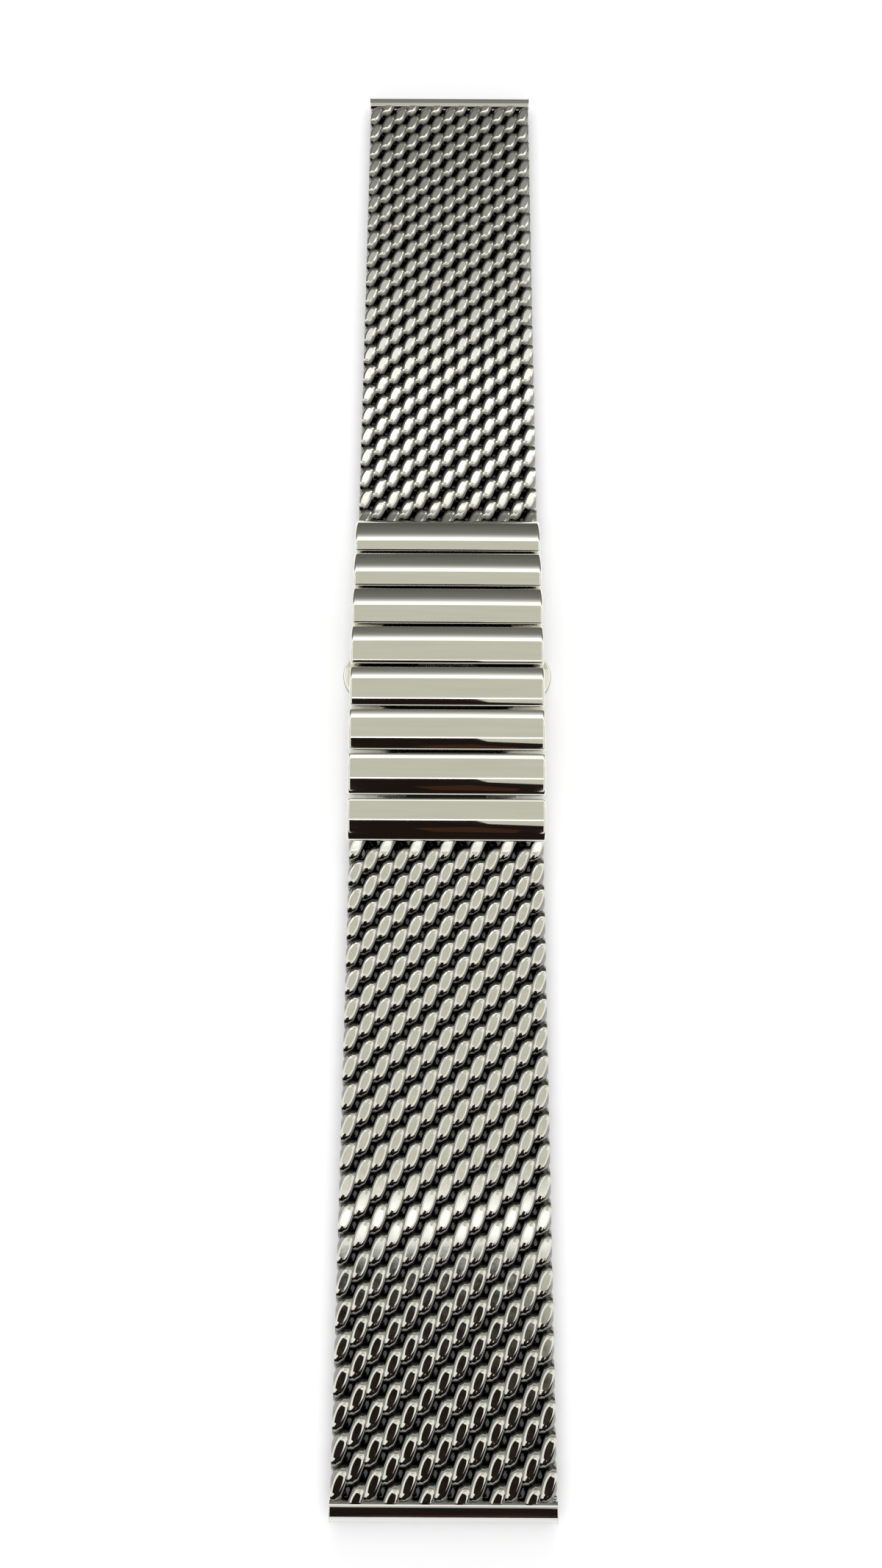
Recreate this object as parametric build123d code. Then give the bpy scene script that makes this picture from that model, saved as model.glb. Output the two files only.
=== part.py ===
from build123d import *
import math
import os

# A milanese mesh watch band with a butterfly clasp, lying closed with its outer side up.
# Millimetres. X is across the band, Y along it, Z up from the table that it lies on.
# The origin is on the table under the middle of the clasp. Both halves of the band are
# alike, so the near half is the far half turned half a turn about Z.

os.makedirs("parts", exist_ok=True)

# Mesh, in stiff sections whose fingers interlock like the loops of two coils
column_pitch = 1.705
columns_per_finger = [3, 2, 3, 2, 3]
finger_gap = 0.22
mesh_thickness = 2.3
coil_pitch = 1.525
coils_per_section = [8, 7, 7, 7, 7, 8]
section_play = 0.12
bend_drop_share = 0.5
nose_shares = [0.5, 0.2, -0.2, -0.5]
pocket_facet = math.radians(45)
seam_columns = [1, 3, 5, 8, 10, 12]
seam_depth = 0.45
seam_width = 0.9

# Solid links over the clasp
link_count = 4
link_overhang = 0.28
link_pitch = 5.15
link_gap = 0.3
link_thickness = 2.6
link_shoulder = 0.35
link_crown_radius = 6.0
link_chamfer = 0.45
link_corner = 0.35

# Knuckles and pins of the links
pin_radius = 0.40
pin_play = 0.03
pin_sunk = 0.2
pin_drop = 0.5
pin_inset = 0.95
knuckle_radius = 0.70
knuckle_play = 0.12
tongue_width = 9.0
tongue_shoulder = 0.45
side_play = 0.10

# Lip of the outermost link over the end of the mesh, and how far the mesh falls from it to the table
lip_length = 0.75
lip_thickness = 0.75
seat_play = 0.02
mesh_fall = 0.384

# Butterfly clasp: body arms below, wings above them
hinge_distance = 14.5
arm_radius = 70.0
arm_thickness = 0.8
arm_width = 16.0
wing_thickness = 0.8
wing_play = 0.1
link_play = 0.15
barrel_radius = 0.9
barrel_play = 0.15
hinge_pin_radius = 0.45
wing_knuckle_width = 8.0

# Ear that carries the innermost link
ear_width = 7.0
ear_inset = 0.85
ear_back = 0.45
wing_setback = 0.4
neck_front_share = 0.5
neck_root_share = 0.25

# Latch box across the middle of the clasp
box_half_length = 2.9
box_inset = 0.05
box_floor = 0.9
cheek_play = 0.2
cheek_top = 3.15
cover_thickness = 0.3
cover_corner = 0.8
tunnel_half_width = 1.7
tunnel_height = 1.0
recess_half_width = 2.5
recess_depth = 1.8
recess_roof = 0.4
centre_web = 0.6

# Push buttons with their hooks and springs
button_proud = 1.05
button_chord = 5.0
button_stand = 1.0
button_length = 1.95
button_play = 0.05
button_rim = 0.3
button_travel = 0.7
stem_half_width = 1.6
stem_height = 0.8
hook_play = 0.5
hook_length = 1.5
hook_post_inset = 0.25
hook_post_half_width = 0.8
hook_nose_half_width = 1.15
hook_nose_height = 0.45
hook_top = 2.95
spring_wall = 0.12
spring_half_width = 1.35
spring_runs = 5
spring_play = 0.05

# End caps with the spring-bar tube
cap_overhang = 0.13
cap_radius = 1.25
cap_bore_radius = 0.75
cap_flat = 0.06

overrun = 1.0
arc_shares = (0, 0.5, 1)

# Widths that follow from the mesh
mesh_width = column_pitch * sum(columns_per_finger) - finger_gap
link_width = mesh_width + 2 * link_overhang
cap_width = mesh_width + 2 * cap_overhang
box_width = link_width - 2 * box_inset
half_box = box_width / 2
button_reach = half_box + button_proud
cheek_start = arm_width / 2 + cheek_play
stem_end = ear_width / 2 + hook_play + hook_length


def yz(y, z):
    return Vector(0, y, z)


def across(face, width, start=None):
    """A solid from a face in the YZ plane: width wide, centred, or from X = start on."""
    solid = extrude(face, amount=width, dir=(1, 0, 0))
    return Pos(-width / 2 if start is None else start, 0, 0) * solid


def outline(points):
    return make_face(Polyline(*points, close=True))


def rod(radius, width, y, z):
    return Pos(0, y, z) * Rot(0, 90, 0) * Cylinder(radius, width)


def block(x0, x1, y0, y1, z0, z1):
    centre = Pos((x0 + x1) / 2, (y0 + y1) / 2, (z0 + z1) / 2)
    return centre * Box(abs(x1 - x0), abs(y1 - y0), abs(z1 - z0))


def both_sides(solid):
    """The solid and its copy on the other side of the YZ plane."""
    return solid + mirror(solid, Plane.YZ)


# Clasp arcs: arms and wings are shells on one centre, which puts the hinge barrels on the table
arm_centre_z = -math.sqrt(arm_radius**2 - hinge_distance**2)
arm_outer = arm_radius + arm_thickness
wing_inner = arm_outer + wing_play
wing_outer = wing_inner + wing_thickness
hinge_z = barrel_radius
block_top = arm_centre_z + arm_outer

# The links stand on a wider arc over the wings, so steep at its end that the mesh comes to the table
half_length = (link_pitch - link_gap) / 2
half_height = link_thickness / 2
half_mesh = mesh_thickness / 2
mesh_offset = half_height - lip_thickness - seat_play - half_mesh
link_mid_z = arm_centre_z + wing_outer + link_play + half_height
chain_length = (link_count - 0.5) * link_pitch
slope = (link_mid_z + mesh_offset - half_mesh - mesh_fall) / (chain_length / 2 + half_length)
link_arch_radius = chain_length / slope
link_step = math.degrees(link_pitch / link_arch_radius)
pin_y = half_length - pin_inset
ear_y = ear_inset - half_length


def link_place(index):
    """Where the far link number index (0 is the innermost) lies, from its own middle."""
    turn = -(index + 0.5) * link_step
    return Pos(0, 0, link_mid_z - link_arch_radius) * Rot(turn, 0, 0) * Pos(0, 0, link_arch_radius)


def point_in(place, y, z):
    return (place * Pos(0, y, z)).position


# The mesh leaves the last link straight down its slope, turns level on one arc and lies on the table
mesh_edge = point_in(link_place(link_count - 1), half_length, mesh_offset)
mesh_drop = mesh_edge.Z - half_mesh
bend_radius = mesh_drop * bend_drop_share / (1 - math.cos(slope))
bend_start = mesh_drop * (1 - bend_drop_share) / math.sin(slope)
bend_length = bend_radius * slope
bend_centre = yz(
    mesh_edge.Y + bend_start * math.cos(slope) + bend_radius * math.sin(slope),
    half_mesh + bend_radius,
)


def mesh_point(run, height):
    """The point height above the mesh's middle, after run along it from the link's edge."""
    if run < bend_start:
        y = mesh_edge.Y + run * math.cos(slope) + height * math.sin(slope)
        return yz(y, mesh_edge.Z - run * math.sin(slope) + height * math.cos(slope))
    along = run - bend_start
    if along < bend_length:
        angle = slope - along / bend_radius
        reach = bend_radius - height
        return yz(bend_centre.Y - reach * math.sin(angle), bend_centre.Z - reach * math.cos(angle))
    return yz(bend_centre.Y + along - bend_length, half_mesh + height)


section_ends = [coil_pitch * sum(coils_per_section[:n]) for n in range(len(coils_per_section) + 1)]
mesh_end = mesh_point(section_ends[-1], 0)


def nose(run, side):
    """The blunt end of a finger on its bending axis, from top to bottom."""
    points = []
    for share in nose_shares:
        angle = share * math.pi
        points.append(mesh_point(run + side * half_mesh * math.cos(angle), half_mesh * math.sin(angle)))
    return points


def pocket(run, side):
    """The hollow that leaves room for the neighbour's nose, from top to bottom."""
    reach = half_mesh + section_play
    shoulder = reach / math.cos(pocket_facet) - half_mesh
    flat = reach * math.tan(pocket_facet / 2)
    return [
        mesh_point(run - side * shoulder, half_mesh),
        mesh_point(run - side * reach, flat),
        mesh_point(run - side * reach, -flat),
        mesh_point(run - side * shoulder, -half_mesh),
    ]


def run_face(start_points, end_points, half, curved):
    """The YZ face of a stretch of mesh between two ends, each given from top to bottom."""
    lines = []
    if curved:
        bends = [bend_start + bend_length * share for share in arc_shares]
        bottom = [mesh_point(run, -half) for run in bends]
        top = [mesh_point(run, half) for run in reversed(bends)]
        lines.append(Line(start_points[-1], bottom[0]))
        lines.append(ThreePointArc(*bottom))
        lines.append(Line(bottom[-1], end_points[-1]))
        lines.append(Line(end_points[0], top[0]))
        lines.append(ThreePointArc(*top))
        lines.append(Line(top[-1], start_points[0]))
    else:
        lines.append(Line(start_points[-1], end_points[-1]))
        lines.append(Line(end_points[0], start_points[0]))
    lines.append(Polyline(*start_points))
    lines.append(Polyline(*end_points))
    return make_face(lines)


def section_slab(left, right, curved, start, width):
    """A stretch of mesh at its full thickness, width wide from X = start on."""
    return across(run_face(left, right, half_mesh, curved), width, start)


def straight_end(run):
    return [mesh_point(run, half_mesh), mesh_point(run, -half_mesh)]


def seam_cuts(start, end):
    """V grooves along the main seams between columns, over a level stretch of the mesh's top."""
    cuts = []
    for columns in seam_columns:
        x = columns * column_pitch - (mesh_width + finger_gap) / 2
        groove = outline(
            [
                Vector(x - seam_width / 2, start, mesh_thickness),
                Vector(x, start, mesh_thickness - seam_depth),
                Vector(x + seam_width / 2, start, mesh_thickness),
            ]
        )
        cuts.append(extrude(groove, amount=end - start, dir=(0, 1, 0)))
    return cuts


def mesh_section(index):
    """One stiff stretch of the mesh: a slab with fingers that interlock with its neighbours."""
    first = index == 0
    last = index == len(coils_per_section) - 1
    start, end = section_ends[index], section_ends[index + 1]
    clamp = seat_play - lip_length
    reach = half_mesh + section_play
    slab_start = clamp if first else start + reach
    slab_end = end if last else end - reach
    solid = section_slab(
        straight_end(slab_start), straight_end(slab_end), first, -mesh_width / 2, mesh_width
    )
    x = -mesh_width / 2
    for number, columns in enumerate(columns_per_finger):
        outward = number % 2 == 0
        if first:
            left = straight_end(clamp)
        else:
            left = pocket(start, -1) if outward else nose(start, -1)
        if last:
            right = straight_end(end)
        else:
            right = nose(end, 1) if outward else pocket(end, 1)
        width = columns * column_pitch - finger_gap
        solid += section_slab(left, right, first, x, width)
        x += columns * column_pitch
    if last:
        solid -= rod(cap_radius + seat_play, cap_width + overrun, mesh_end.Y, cap_radius)
    seam_start = mesh_point(bend_start + bend_length, 0).Y if first else left[0].Y - overrun
    seam_end = mesh_end.Y - cap_radius - seat_play if last else right[0].Y + overrun
    return solid - seam_cuts(seam_start, seam_end)


def end_cap():
    """The tube that takes the spring bar, with its top ground a little flat."""
    tube = rod(cap_radius, cap_width, mesh_end.Y, cap_radius)
    tube -= rod(cap_bore_radius, cap_width + overrun, mesh_end.Y, cap_radius)
    top = 2 * cap_radius
    low_y = mesh_end.Y - top
    high_y = mesh_end.Y + top
    return tube - block(-cap_width, cap_width, low_y, high_y, top - cap_flat, top + overrun)


def link_blank():
    """A link before its knuckles are cut: crowned top, broken edges, corners cut at its ends."""
    reach = link_crown_radius - link_shoulder
    shoulder_y = half_length - link_shoulder
    crown_edge = math.asin(shoulder_y / reach)
    shoulder_z = half_height - link_crown_radius + reach * math.cos(crown_edge)
    flank = half_height - link_chamfer
    crown_y = shoulder_y + link_shoulder * math.sin(crown_edge)
    crown_z = shoulder_z + link_shoulder * math.cos(crown_edge)
    crown_start = yz(crown_y, crown_z)
    crown_end = yz(-crown_y, crown_z)
    lines = [
        Polyline(
            yz(-half_length, shoulder_z),
            yz(-half_length, -flank),
            yz(link_chamfer - half_length, -half_height),
            yz(half_length - link_chamfer, -half_height),
            yz(half_length, -flank),
            yz(half_length, shoulder_z),
        ),
        Line(yz(half_length, shoulder_z), crown_start),
        ThreePointArc(crown_start, yz(0, half_height), crown_end),
        Line(crown_end, yz(-half_length, shoulder_z)),
    ]
    bar = across(make_face(lines), link_width)
    plan = chamfer(Rectangle(link_width, 2 * half_length).vertices(), link_corner)
    return bar & extrude(plan, amount=half_height, both=True)


def link(index):
    """The far link number index, cut and tongued for its neighbours, in its own place."""
    solid = link_blank()
    depth = half_height + overrun
    roof = knuckle_radius + knuckle_play - pin_drop
    if index < link_count - 1:
        half_slot = tongue_width / 2 + side_play
        slot_start = pin_y - knuckle_radius - knuckle_play
        solid -= block(-half_slot, half_slot, slot_start, half_length + overrun, -depth, roof)
        solid -= rod(pin_radius, link_width + overrun, pin_y, -pin_drop)
    else:
        solid -= block(
            -link_width,
            link_width,
            half_length - lip_length,
            half_length + overrun,
            -depth,
            half_height - lip_thickness,
        )
    if index == 0:
        half_ear_slot = ear_width / 2 + side_play
        slot_end = ear_y + knuckle_radius + knuckle_play
        solid -= block(-half_ear_slot, half_ear_slot, -half_length - overrun, slot_end, -depth, roof)
        solid -= rod(pin_radius, link_width + overrun, ear_y, -pin_drop)
    else:
        before = link_place(index).inverse() * link_place(index - 1)
        pin = point_in(before, pin_y, -pin_drop)
        root = pin_inset - half_length
        half_tongue = tongue_width / 2
        neck = block(
            -half_tongue,
            half_tongue,
            pin.Y,
            root,
            pin.Z - knuckle_radius,
            pin.Z + tongue_shoulder,
        )
        solid += rod(knuckle_radius, tongue_width, pin.Y, pin.Z) + neck
        solid -= rod(pin_radius + pin_play, tongue_width + overrun, pin.Y, pin.Z)
    return link_place(index) * solid


def link_pin(index):
    length = link_width - 2 * pin_sunk
    return link_place(index) * rod(pin_radius, length, pin_y, -pin_drop)


def ear_pin():
    length = link_width - 2 * pin_sunk
    return link_place(0) * rod(pin_radius, length, ear_y, -pin_drop)


def arc_strip(inner, outer, y_start, y_end, width):
    """A strip bent on the clasp's centre, between two places along the band."""

    def on_arc(radius, share):
        y = y_start + (y_end - y_start) * share
        turn = math.asin(y / outer)
        return yz(radius * math.sin(turn), arm_centre_z + radius * math.cos(turn))

    lines = [
        ThreePointArc(*[on_arc(inner, share) for share in arc_shares]),
        Line(on_arc(inner, 1), on_arc(outer, 1)),
        ThreePointArc(*[on_arc(outer, share) for share in reversed(arc_shares)]),
        Line(on_arc(outer, 0), on_arc(inner, 0)),
    ]
    return across(make_face(lines), width)


def plate_knuckles(radius, play):
    """The two outer knuckles of the body at the far hinge, or the room around them."""
    start = wing_knuckle_width / 2 + side_play - play
    width = arm_width / 2 - start + play
    one = Pos(start + width / 2, 0, 0) * rod(radius, width, hinge_distance, hinge_z)
    return both_sides(one)


def wing():
    """The far wing: a bent strip with a knuckle at its hinge and an ear for the link."""
    pin = point_in(link_place(0), ear_y, -pin_drop)
    start = pin.Y + wing_setback
    solid = arc_strip(wing_inner, wing_outer, start, hinge_distance, arm_width)
    solid -= plate_knuckles(barrel_radius + barrel_play, side_play)
    solid += rod(barrel_radius, wing_knuckle_width, hinge_distance, hinge_z)
    solid -= rod(hinge_pin_radius + pin_play, arm_width + overrun, hinge_distance, hinge_z)
    turn = math.asin(start / wing_outer)
    foot_z = arm_centre_z + (wing_inner + wing_thickness * neck_root_share) * math.cos(turn)
    neck = outline(
        [
            yz(pin.Y - ear_back, pin.Z),
            yz(pin.Y + knuckle_radius, pin.Z),
            yz(pin.Y + knuckle_radius, foot_z),
            yz(pin.Y + wing_setback * neck_front_share, foot_z),
        ]
    )
    ear = across(neck, ear_width) + rod(knuckle_radius, ear_width, pin.Y, pin.Z)
    ear -= rod(pin_radius + pin_play, ear_width + overrun, pin.Y, pin.Z)
    return solid + ear


def clasp_body():
    """The curved arms with the latch box between them and a hinge at each end."""
    arm = arc_strip(arm_radius, arm_outer, 0, hinge_distance, arm_width)
    clear = barrel_radius + barrel_play
    half_knuckle = wing_knuckle_width / 2 + side_play
    arm -= rod(clear, 2 * half_knuckle, hinge_distance, hinge_z)
    arm += plate_knuckles(barrel_radius, 0)
    arm -= rod(hinge_pin_radius, arm_width + overrun, hinge_distance, hinge_z)
    beam = block(-half_box, half_box, -box_half_length, box_half_length, box_floor, block_top)
    cheek = block(cheek_start, half_box, -box_half_length, box_half_length, box_floor, cheek_top)
    solid = arm + Rot(0, 0, 180) * arm + beam + both_sides(cheek)
    below = box_floor - overrun
    under_arms = block(-half_box, half_box, -box_half_length, box_half_length, below, box_floor)
    solid -= under_arms
    tunnel_end = half_box - recess_depth
    tunnel = block(
        centre_web / 2,
        tunnel_end,
        -tunnel_half_width,
        tunnel_half_width,
        below,
        box_floor + tunnel_height,
    )
    recess = block(
        tunnel_end,
        half_box + overrun,
        -recess_half_width,
        recess_half_width,
        below,
        cheek_top - recess_roof,
    )
    post_end = stem_end - hook_post_inset
    post_start = stem_end - hook_length + hook_post_inset
    post_slot = block(
        post_start - button_travel - side_play,
        post_end + side_play,
        -hook_post_half_width - side_play,
        hook_post_half_width + side_play,
        box_floor,
        block_top + overrun,
    )
    return solid - both_sides(tunnel + recess + post_slot)


def latch_cover():
    """The plate that closes the latch box from below."""
    low = box_floor - cover_thickness
    plate = block(-half_box, half_box, -box_half_length, box_half_length, low, box_floor)
    return chamfer(plate.edges().filter_by(Axis.Z), cover_corner)


def push_button():
    """The right button: a D-shaped head that fits its recess, on a flat stem."""
    radius = ((button_chord / 2) ** 2 + button_stand**2) / (2 * button_stand)
    low = box_floor + button_play
    high = cheek_top - recess_roof - button_play
    half_width = recess_half_width - button_play
    start = button_reach - button_length
    round_head = Pos(button_reach - radius, 0, (low + high) / 2) * Cylinder(radius, high - low)
    head = round_head & block(start, button_reach + overrun, -half_width, half_width, low, high)
    rim = head.faces().sort_by(Axis.X)[-1].edges().filter_by(GeomType.CIRCLE)
    head = chamfer(rim, button_rim)
    stem = block(stem_end, start, -stem_half_width, stem_half_width, low, low + stem_height)
    return head + stem


def latch_hook():
    """The right hook: a foot on the button's stem, a post through the box, a nose on top."""
    low = box_floor + button_play
    start = stem_end - hook_length
    post_start = start + hook_post_inset
    post_end = stem_end - hook_post_inset
    foot = block(start, stem_end, -stem_half_width, stem_half_width, low, low + stem_height)
    post = block(
        post_start, post_end, -hook_post_half_width, hook_post_half_width, low, hook_top
    )
    nose_low = hook_top - hook_nose_height
    nose_block = block(
        post_start, post_end, -hook_nose_half_width, hook_nose_half_width, nose_low, hook_top
    )
    return foot + post + nose_block


def latch_spring():
    """The right return spring: a thin strip folded to and fro between the web and the hook."""
    start = centre_web / 2 + spring_play
    end = stem_end - hook_length - spring_play
    low = box_floor + 2 * button_play
    high = low + stem_height
    half_width = spring_half_width
    step = (end - start - spring_wall) / spring_runs
    solid = block(start, start + spring_wall, -half_width, half_width, low, high)
    for n in range(spring_runs):
        x = start + n * step
        outer = half_width if n % 2 else -half_width
        inner = outer - math.copysign(spring_wall, outer)
        next_x = x + step
        solid += block(x, next_x + spring_wall, outer, inner, low, high)
        solid += block(next_x, next_x + spring_wall, -half_width, half_width, low, high)
    return solid


def hinge_pin():
    return rod(hinge_pin_radius, arm_width, hinge_distance, hinge_z)


def save(solid, name):
    export_step(solid, f"parts/{name}.step")


def save_halves(solid, name, number=""):
    """Writes a far piece and its near copy, which is the same piece half a turn round."""
    suffix = f"_{number}" if number else ""
    save(solid, f"{name}_far{suffix}")
    save(Rot(0, 0, 180) * solid, f"{name}_near{suffix}")


def save_sides(solid, name):
    """Writes a right piece and its left copy."""
    save(solid, f"{name}_right")
    save(Rot(0, 0, 180) * solid, f"{name}_left")


def main():
    for index in range(len(coils_per_section)):
        save_halves(mesh_section(index), "mesh", index + 1)
    for index in range(link_count):
        save_halves(link(index), "link", index + 1)
    for index in range(link_count - 1):
        save_halves(link_pin(index), "link_pin", index + 1)
    save_halves(ear_pin(), "wing_pin")
    save_halves(wing(), "wing")
    save_halves(hinge_pin(), "hinge_pin")
    save_halves(end_cap(), "end_cap")
    save(clasp_body(), "clasp_body")
    save(latch_cover(), "latch_cover")
    save_sides(push_button(), "push_button")
    save_sides(latch_hook(), "latch_hook")
    save_sides(latch_spring(), "latch_spring")


main()
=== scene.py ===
import math

import bmesh
import bpy
import numpy as np
from mathutils import Matrix, Vector

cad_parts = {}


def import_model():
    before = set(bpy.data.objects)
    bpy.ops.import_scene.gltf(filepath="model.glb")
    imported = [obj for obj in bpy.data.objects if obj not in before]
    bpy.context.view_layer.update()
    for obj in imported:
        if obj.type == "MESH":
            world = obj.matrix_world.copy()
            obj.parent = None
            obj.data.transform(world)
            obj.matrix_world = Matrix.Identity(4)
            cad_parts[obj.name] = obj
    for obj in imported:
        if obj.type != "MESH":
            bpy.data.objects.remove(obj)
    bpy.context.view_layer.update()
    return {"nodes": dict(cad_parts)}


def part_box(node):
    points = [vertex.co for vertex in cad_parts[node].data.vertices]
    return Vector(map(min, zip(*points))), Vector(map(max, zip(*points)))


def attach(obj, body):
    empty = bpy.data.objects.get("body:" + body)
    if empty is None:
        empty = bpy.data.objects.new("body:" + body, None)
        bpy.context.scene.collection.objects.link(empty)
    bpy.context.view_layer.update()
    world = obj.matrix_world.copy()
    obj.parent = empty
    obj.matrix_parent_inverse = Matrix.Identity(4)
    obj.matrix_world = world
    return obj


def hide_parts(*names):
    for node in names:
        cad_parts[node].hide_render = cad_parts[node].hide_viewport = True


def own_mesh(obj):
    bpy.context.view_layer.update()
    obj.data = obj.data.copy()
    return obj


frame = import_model()
nodes = frame["nodes"]

# A milanese mesh band with a butterfly clasp, lying closed on a table with its outer side up.
# Lengths are in millimetres until a mesh is made, where MM turns them into metres.
MM = 0.001

# Driving values that the CAD model has too
COLUMN_PITCH = 1.705
COLUMN_COUNT = 13
FINGER_GAP = 0.22
MESH_THICKNESS = 2.3
COIL_PITCH = 1.525
COILS_PER_SECTION = [8, 7, 7, 7, 7, 8]
BEND_DROP_SHARE = 0.5
LINK_COUNT = 4
LINK_OVERHANG = 0.28
LINK_PITCH = 5.15
LINK_GAP = 0.3
LINK_THICKNESS = 2.6
LINK_EDGE = 0.35
LINK_CROWN_RADIUS = 6.0
LINK_CHAMFER = 0.45
LINK_CORNER = 0.35
MESH_FALL = 0.384
PIN_RADIUS = 0.40
PIN_PLAY = 0.03
PIN_DROP = 0.5
PIN_INSET = 0.95
KNUCKLE_RADIUS = 0.70
KNUCKLE_PLAY = 0.12
TONGUE_WIDTH = 9.0
TONGUE_SHOULDER = 0.45
SIDE_PLAY = 0.10
LIP_LENGTH = 0.75
LIP_THICKNESS = 0.75
SEAT_PLAY = 0.02
HINGE_DISTANCE = 14.5
ARM_RADIUS = 70.0
ARM_THICKNESS = 0.8
WING_THICKNESS = 0.8
WING_PLAY = 0.1
LINK_PLAY = 0.15
EAR_WIDTH = 7.0
EAR_INSET = 0.85
CAP_RADIUS = 1.25
CAP_BORE_RADIUS = 0.75
CAP_FLAT = 0.06
CAP_OVERHANG = 0.13
BUTTON_CHORD = 5.0
BUTTON_STAND = 1.0
BUTTON_RIM = 0.3
OVERRUN = 1.0

# The wire of the mesh, which is seen only here
WIRE_HALF_WIDTH = 0.89
WIRE_HALF_HEIGHT = 0.60
COIL_HALF_HEIGHT = 0.567
COIL_CROWN = 0.047
COIL_HALF_LENGTH = 1.37
SLANT_EASE = 0.26
END_TURNS = 0.5
RINGS_PER_TURN = 28
TANGENT_STEP = 0.001
FLAT_CORE_SHARE = 0.9
FLAT_LEAST_ANGLE = math.radians(14)
RIM_ANGLE = math.radians(9)
RIM_DROP = 0.02
ROUND_POINTS = 11
CAP_COVER_SHARE = 0.6

# Fineness and small rounds of the other pieces
EDGE_STEPS = 8
CROWN_STEPS = 24
END_STEPS = 5
ROD_SEGMENTS = 48
CAP_STEPS = 72
CAP_EDGE = 0.12
CAP_EDGE_STEPS = 4
CLASP_ROUND = 0.08
SMALL_ROUND = 0.06
HOOK_ROUND = 0.05
SPRING_ROUND = 0.02
ROUND_SEGMENTS = 2

# Angles in degrees: above them an edge is kept sharp or is rounded
BAR_SHARP_ANGLE = 40
CAP_SHARP_ANGLE = 12
CLASP_SHARP_ANGLE = 30
ROUND_ANGLE = 35

# Below this angle in degrees, two faces of a CAD node are one flat face
FLAT_ANGLE = 1

# Distances in metres below which points count as one, and the least cosine at a corner's inset
JOIN_DISTANCE = 1e-6
CUT_DISTANCE = 1e-7
LEAST_COSINE = 0.5

# Painted shade: how bright the steel is kept at each share of its height, darker down in the
# hollows and between parts, and the warm tone of that shade
SHADE_HEIGHT = "painted_shade_height"
GROUND_SHARE = 0.9999
OPEN_EDGE_WIDTH = 0.6
OPEN_EDGE_SHARE = 0.9
BUTTON_SHADE_DEPTH = 0.45
WIRE_PAINTED_SHADE = [(0.35, 0.01), (0.55, 0.035), (0.75, 0.12), (0.94, 0.4), (0.965, 1.0)]
LINK_PAINTED_SHADE = [(0.1, 0.03), (0.4, 1.0)]
BUTTON_PAINTED_SHADE = [(0.0, 0.22), (0.4, 1.0)]
WARMTH = 0.94

# Fine marks in the steel: how they are stretched along X, Y and Z, and how deep they are
ALONG_X = (60.0, 900.0, 900.0)
ALONG_Y = (900.0, 60.0, 900.0)
EVEN = (500.0, 500.0, 500.0)
MARK_DETAIL = 5.0
MARK_DEPTH = 0.02
NOISE_LOW = 0.3
NOISE_HIGH = 0.7

# Sockets of Blender's Mix node when it mixes colours: the share, the two colours, the result
MIX_COLOUR_INPUTS = (0, 6, 7)
MIX_COLOUR_OUTPUT = 2

# Camera, by the vanishing lines of the photograph
PHOTO_HEIGHT = 2133
FOCAL_PIXELS = 1700
SENSOR_HEIGHT = 36.0
CAMERA_PITCH = 71.70
CAMERA_YAW = 0.313
CAMERA_X = -0.40
CAMERA_Y = -58.43
CAMERA_Z = 138.34
CLIP_START = 5.0

# Table, which glows a little for the camera, more beside the band than under it
TABLE_HALF_WIDTH = 3000.0
TABLE_GAP = 0.01
TABLE_WHITE = 0.99
GLOW_START = -1.0
GLOW_END = 1.5
GLOW_UNDER = 0.03
GLOW_BESIDE = 0.17

# Ceiling of the studio, whose stripes and grades the steel reflects, by places along Y
PANEL_Z = 290.0
PANEL_HALF_WIDTH = 600.0
STRIPE_HALF_WIDTH = 95.0
STREAK_DROP = 1.0
BLACK = (0.014, 0.009, 0.007)
BROWN = (0.05, 0.021, 0.012)
CREAM = (0.63, 0.625, 0.545)
DIM_CREAM = (0.394, 0.39, 0.341)
BRIGHT_WHITE = (1.6, 1.6, 1.6)
BLACK_END = -73.0
WHITE_END = -59.0
SIDE_START = -250.0
SIDE_END = 150.0
FAR_END = 420.0
BLACK_CORNER = [(25, BLACK_END), (36, -112), (95, -140)]
STREAK = [(-30, -172), (22, -150), (70, -195), (70, -240), (-10, -222)]
PANEL_STRIPES = [(BLACK_END, WHITE_END, BRIGHT_WHITE), (WHITE_END, SIDE_END, CREAM)]
SIDE_STRIPES = [
    (STRIPE_HALF_WIDTH, 480, (0.95, 0.95, 0.92)),
    (480, PANEL_HALF_WIDTH, (0.16, 0.16, 0.15)),
]
FAR_GLOW = 1.6
FAR_SHADES = [
    (SIDE_END, DIM_CREAM),
    (185, DIM_CREAM),
    (205, (1.0, 1.0, 1.0)),
    (245, (0.9, 0.9, 0.89)),
    (285, (0.42, 0.42, 0.41)),
    (350, (0.19, 0.19, 0.18)),
    (FAR_END, (0.14, 0.14, 0.13)),
]
WALL_SHADES = [(0, (0.06, 0.062, 0.058)), (PANEL_Z, (0.13, 0.13, 0.12))]

# What follows from the driving values
HALF_MESH = MESH_THICKNESS / 2
MESH_WIDTH = COLUMN_PITCH * COLUMN_COUNT - FINGER_GAP
LINK_WIDTH = MESH_WIDTH + 2 * LINK_OVERHANG
CAP_WIDTH = MESH_WIDTH + 2 * CAP_OVERHANG
HALF_LENGTH = (LINK_PITCH - LINK_GAP) / 2
HALF_HEIGHT = LINK_THICKNESS / 2
PIN_Y = HALF_LENGTH - PIN_INSET
EAR_Y = EAR_INSET - HALF_LENGTH
ARM_CENTRE_Z = -math.sqrt(ARM_RADIUS**2 - HINGE_DISTANCE**2)
WING_OUTER = ARM_RADIUS + ARM_THICKNESS + WING_PLAY + WING_THICKNESS
LINK_MID_Z = ARM_CENTRE_Z + WING_OUTER + LINK_PLAY + HALF_HEIGHT
MESH_OFFSET = HALF_HEIGHT - LIP_THICKNESS - SEAT_PLAY - HALF_MESH
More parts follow.
